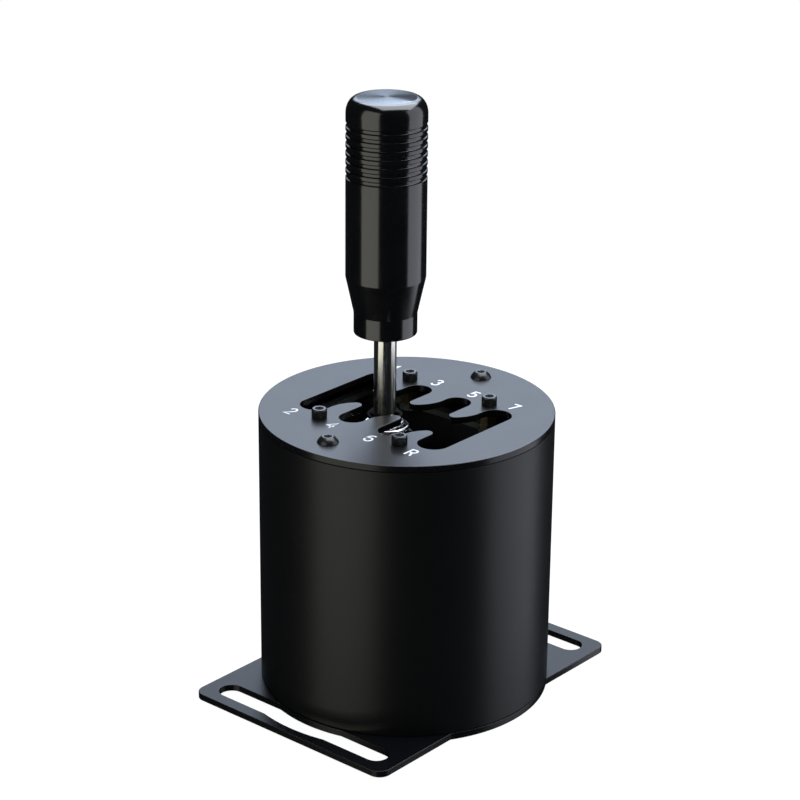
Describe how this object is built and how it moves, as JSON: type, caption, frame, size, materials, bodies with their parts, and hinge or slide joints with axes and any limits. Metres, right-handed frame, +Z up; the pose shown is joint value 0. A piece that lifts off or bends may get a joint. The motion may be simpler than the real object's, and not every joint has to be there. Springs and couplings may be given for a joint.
{
  "type": "sim racing gear shifter",
  "caption": "H-pattern gear shifter for a driving game: a knobbed lever on a sprung two-axis gimbal in a round housing, guided by a slotted gate plate, on a base plate with slotted wings.",
  "frame": {"origin": "middle of the underside of the base plate, on the axis of the round housing", "axes": "+Z up, +Y away from the driver towards the odd gears' row, +X to the driver's right towards reverse"},
  "size_m": [0.13, 0.16, 0.2685],
  "materials": {
    "dark_anodised": "satin bead-blasted, dark anodised",
    "black_anodised": "matt black anodised",
    "gloss_black": "turned, gloss black anodised",
    "frame_plate": "dark anodised plate",
    "black_steel": "black oxide",
    "steel": "bright turned",
    "lever_steel": "finely brushed stainless",
    "spring_steel": "polished spring wire",
    "brass": "turned brass",
    "bronze": "sintered bronze",
    "board": "solder mask",
    "chip": "moulded",
    "magnet": "nickel plated"
  },
  "bodies": {
    "housing": {"base_plate": "dark_anodised", "housing_tube": "black_anodised", "gate_plate": "dark_anodised", "gate_cap_screws": "black_steel", "gate_button_screws": "black_steel", "tie_rods": "steel", "base_screws": "black_steel", "hex_spacers": "brass", "top_frame": "frame_plate", "top_frame_screws": "black_steel", "front_plate": "frame_plate", "rear_plate": "frame_plate", "side_plate_left": "frame_plate", "side_plate_right": "frame_plate", "corner_posts": "frame_plate", "side_screws": "black_steel", "cross_screws": "black_steel", "frame_foot_screws": "black_steel", "select_bearing_front": "steel", "select_bearing_rear": "steel", "spring_post_front": "steel", "spring_post_rear": "steel", "centring_spring_front": "spring_steel", "centring_spring_rear": "spring_steel", "main_board": "board", "board_standoffs": "brass", "board_screws": "black_steel", "processor_chip": "chip", "usb_socket": "steel", "select_sensor_board": "board", "sensor_standoffs": "brass"},
    "gimbal": {"gimbal_ring": "frame_plate", "select_shaft_front": "steel", "select_shaft_rear": "steel", "moving_spring_posts": "steel", "select_circlips": "black_steel", "select_magnet": "magnet", "pivot_bush_left": "bronze", "pivot_bush_right": "bronze", "detent_plate_left": "steel", "detent_plate_right": "steel", "detent_screws": "black_steel", "shift_sensor_board": "board", "shift_sensor_standoffs": "brass"},
    "lever": {"lever_rod": "lever_steel", "lever_hub": "frame_plate", "hub_grub_screws": "black_steel", "pivot_pin": "steel", "pivot_circlips": "black_steel", "shift_magnet": "magnet", "detent_spring": "spring_steel", "spring_washer": "black_steel", "spring_circlip": "black_steel", "grip": "gloss_black", "grip_insert": "brass"},
    "detent_carriage": {"detent_carriage": "frame_plate", "roller_pin": "steel", "roller_clips": "black_steel"},
    "roller_left": {"detent_roller_left": "steel"},
    "roller_right": {"detent_roller_right": "steel"}
  },
  "joints": [
    {"name": "select", "type": "hinge", "parent": "housing", "child": "gimbal", "pos_m": [-0.01135, -0.0016, 0.0485], "axis": [0, 1, 0], "range_deg": [-15.3, 29.7], "stiffness_Nm_per_rad": 2.5, "deforming": ["centring_spring_front", "centring_spring_rear"]},
    {"name": "shift", "type": "hinge", "parent": "gimbal", "child": "lever", "pos_m": [-0.01135, -0.0016, 0.0485], "axis": [1, 0, 0], "range_deg": [-12.5, 12.5]},
    {"name": "detent_lift", "type": "slide", "parent": "lever", "child": "detent_carriage", "axis": [0, 0, 1], "range_m": [0, 0.0015], "stiffness_N_per_m": 1500, "springref_m": -0.004, "deforming": ["detent_spring"]},
    {"name": "roller_left_spin", "type": "hinge", "parent": "detent_carriage", "child": "roller_left", "pos_m": [-0.02985, -0.0016, 0.0858], "axis": [1, 0, 0], "continuous": true},
    {"name": "roller_right_spin", "type": "hinge", "parent": "detent_carriage", "child": "roller_right", "pos_m": [0.00715, -0.0016, 0.0858], "axis": [1, 0, 0], "continuous": true}
  ]
}
